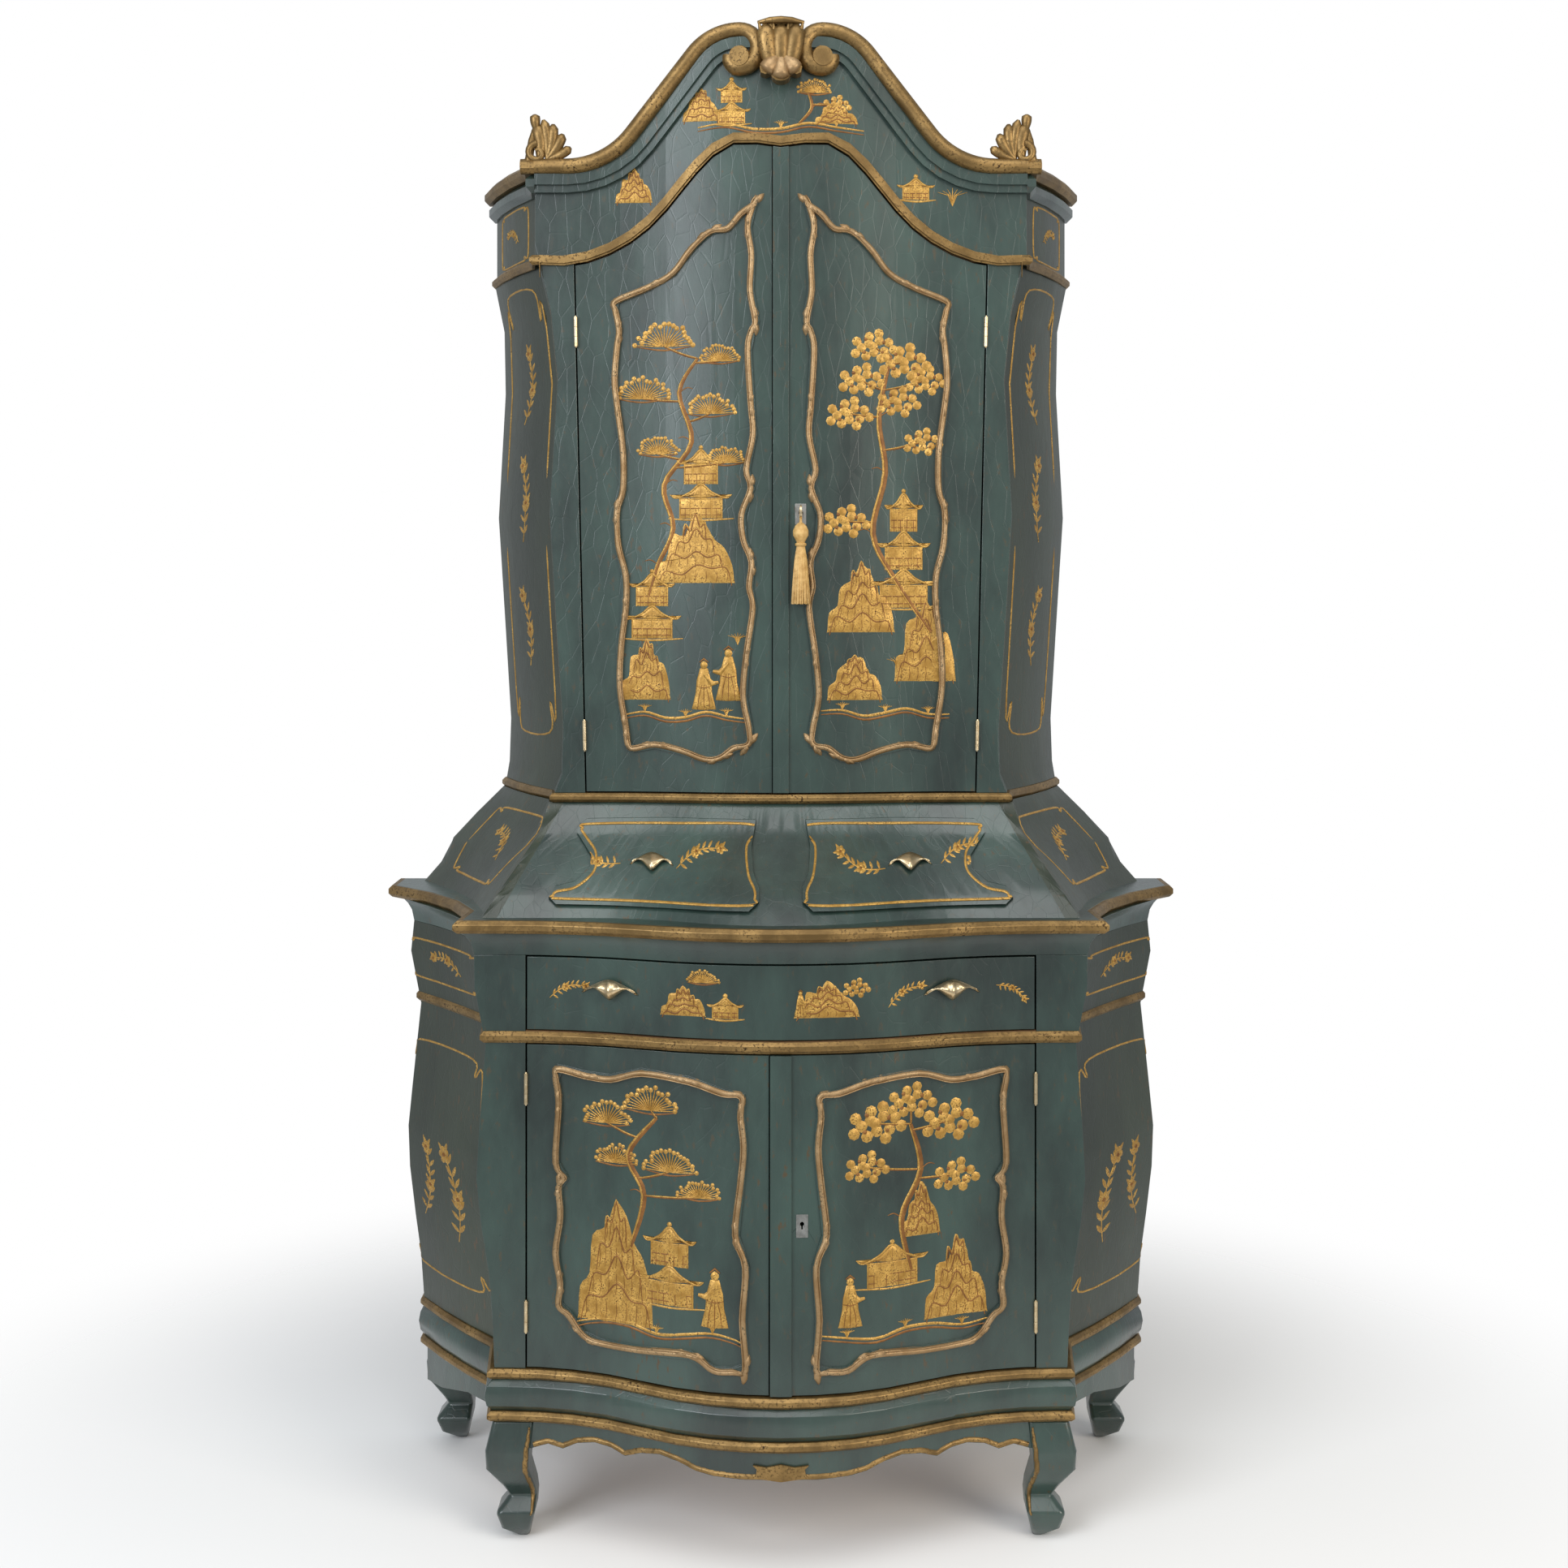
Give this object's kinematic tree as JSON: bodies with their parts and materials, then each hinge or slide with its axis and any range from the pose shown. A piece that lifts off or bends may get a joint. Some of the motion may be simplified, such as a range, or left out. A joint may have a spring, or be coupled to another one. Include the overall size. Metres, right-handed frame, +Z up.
{
  "type": "lacquer cabinet",
  "caption": "Tall bombe cabinet in green lacquer with gilt mouldings: arched upper doors under a bonnet cornice, sloped drawers, a long drawer and bowed lower doors on cabriole legs.",
  "frame": {"origin": "centre of the footprint's bounding box on the floor", "axes": "+Z up; the front faces -Y; +X to the right as seen from the front"},
  "size_m": [1.356, 0.56, 2.4055],
  "materials": {
    "lacquer": "aged dark green lacquer, satin",
    "lacquer_side": "aged olive green lacquer, satin",
    "gilt_wood": "worn water gilding on wood",
    "bare_wood": "old unpainted softwood, matt",
    "gilt_bronze": "worn gilt bronze",
    "lock_steel": "old bright steel",
    "tassel_silk": "gold silk cords"
  },
  "bodies": {
    "case": {"plinth_beads": "gilt_wood", "plinth_torus": "lacquer", "legs": "lacquer", "aprons": "lacquer", "apron_cartouche": "gilt_wood", "floor_boards": "bare_wood", "lower_pilasters": "lacquer", "lower_side_left": "lacquer_side", "lower_side_right": "lacquer_side", "lower_back_panel": "bare_wood", "dust_board": "bare_wood", "drawer_band": "gilt_wood", "ledge_cavetto": "lacquer", "ledge_board": "lacquer", "ledge_edge": "gilt_wood", "slope_front": "lacquer", "slope_sides": "lacquer_side", "slope_back": "bare_wood", "upper_base_moulding": "gilt_wood", "upper_pilasters": "lacquer", "upper_side_left": "lacquer_side", "upper_side_right": "lacquer_side", "upper_back_panel": "bare_wood", "shelves": "bare_wood", "frieze": "lacquer", "upper_top_boards": "bare_wood", "arch_moulding": "gilt_wood", "cornice_cavetto": "lacquer", "cornice_roll": "gilt_wood", "crest_shell": "gilt_wood", "finials": "gilt_wood", "hinge_leaves_fixed": "gilt_bronze", "drawer_runners": "bare_wood"},
    "lower_left_door": {"lower_door_left": "lacquer", "hinge_leaves_lower_left": "gilt_bronze", "lower_keep": "lock_steel"},
    "lower_right_door": {"lower_door_right": "lacquer", "lower_meeting_strip": "lacquer", "hinge_leaves_lower_right": "gilt_bronze", "lower_lock": "lock_steel"},
    "upper_left_door": {"upper_door_left": "lacquer", "hinge_leaves_upper_left": "gilt_bronze", "upper_keep": "lock_steel"},
    "upper_right_door": {"upper_door_right": "lacquer", "upper_meeting_strip": "lacquer", "hinge_leaves_upper_right": "gilt_bronze", "upper_lock": "lock_steel"},
    "lower_bolt": {"lower_lock_bolt": "lock_steel"},
    "upper_bolt": {"upper_lock_bolt": "lock_steel"},
    "key": {"key": "gilt_bronze"},
    "tassel": {"tassel": "tassel_silk"},
    "long_drawer": {"long_drawer_front": "lacquer", "long_drawer_box": "bare_wood", "long_drawer_pulls": "gilt_bronze"},
    "small_drawer_left": {"small_drawer_front_left": "lacquer", "small_drawer_box_left": "bare_wood", "small_drawer_pull_left": "gilt_bronze"},
    "small_drawer_right": {"small_drawer_front_right": "lacquer", "small_drawer_box_right": "bare_wood", "small_drawer_pull_right": "gilt_bronze"}
  },
  "joints": [
    {"name": "lower_right_door_hinge", "type": "hinge", "parent": "case", "child": "lower_right_door", "pos_m": [0.397, -0.1552, 0.53], "axis": [0, 0, 1], "range_deg": [0, 100]},
    {"name": "lower_left_door_hinge", "type": "hinge", "parent": "case", "child": "lower_left_door", "pos_m": [-0.397, -0.1552, 0.53], "axis": [0, 0, -1], "range_deg": [0, 100]},
    {"name": "upper_right_door_hinge", "type": "hinge", "parent": "case", "child": "upper_right_door", "pos_m": [0.318, -0.0064, 1.158], "axis": [0.0216, 0, 0.9998], "range_deg": [0, 100]},
    {"name": "upper_left_door_hinge", "type": "hinge", "parent": "case", "child": "upper_left_door", "pos_m": [-0.318, -0.0064, 1.158], "axis": [0.0216, 0, -0.9998], "range_deg": [0, 100]},
    {"name": "long_drawer_slide", "type": "slide", "parent": "case", "child": "long_drawer", "axis": [0, -1, 0], "range_m": [0, 0.28]},
    {"name": "small_drawer_left_slide", "type": "slide", "parent": "case", "child": "small_drawer_left", "axis": [0, -1, 0], "range_m": [0, 0.15]},
    {"name": "small_drawer_right_slide", "type": "slide", "parent": "case", "child": "small_drawer_right", "axis": [0, -1, 0], "range_m": [0, 0.15]},
    {"name": "key_turn", "type": "hinge", "parent": "upper_right_door", "child": "key", "pos_m": [0.032, -0.03, 1.615], "axis": [0, -1, 0], "range_deg": [0, 180]},
    {"name": "tassel_hang", "type": "hinge", "parent": "key", "child": "tassel", "pos_m": [0.032, -0.041, 1.615], "axis": [0, -1, 0], "range_deg": [-180, 0]},
    {"name": "upper_bolt_slide", "type": "slide", "parent": "upper_right_door", "child": "upper_bolt", "axis": [-1, 0, 0], "range_m": [0, 0.014]},
    {"name": "lower_bolt_slide", "type": "slide", "parent": "lower_right_door", "child": "lower_bolt", "axis": [-1, 0, 0], "range_m": [0, 0.014]}
  ],
  "couplings": [
    {"joint": "key_turn", "follows": "upper_bolt_slide", "rad_per_m": 224.39},
    {"joint": "tassel_hang", "follows": "upper_bolt_slide", "rad_per_m": -224.39}
  ]
}
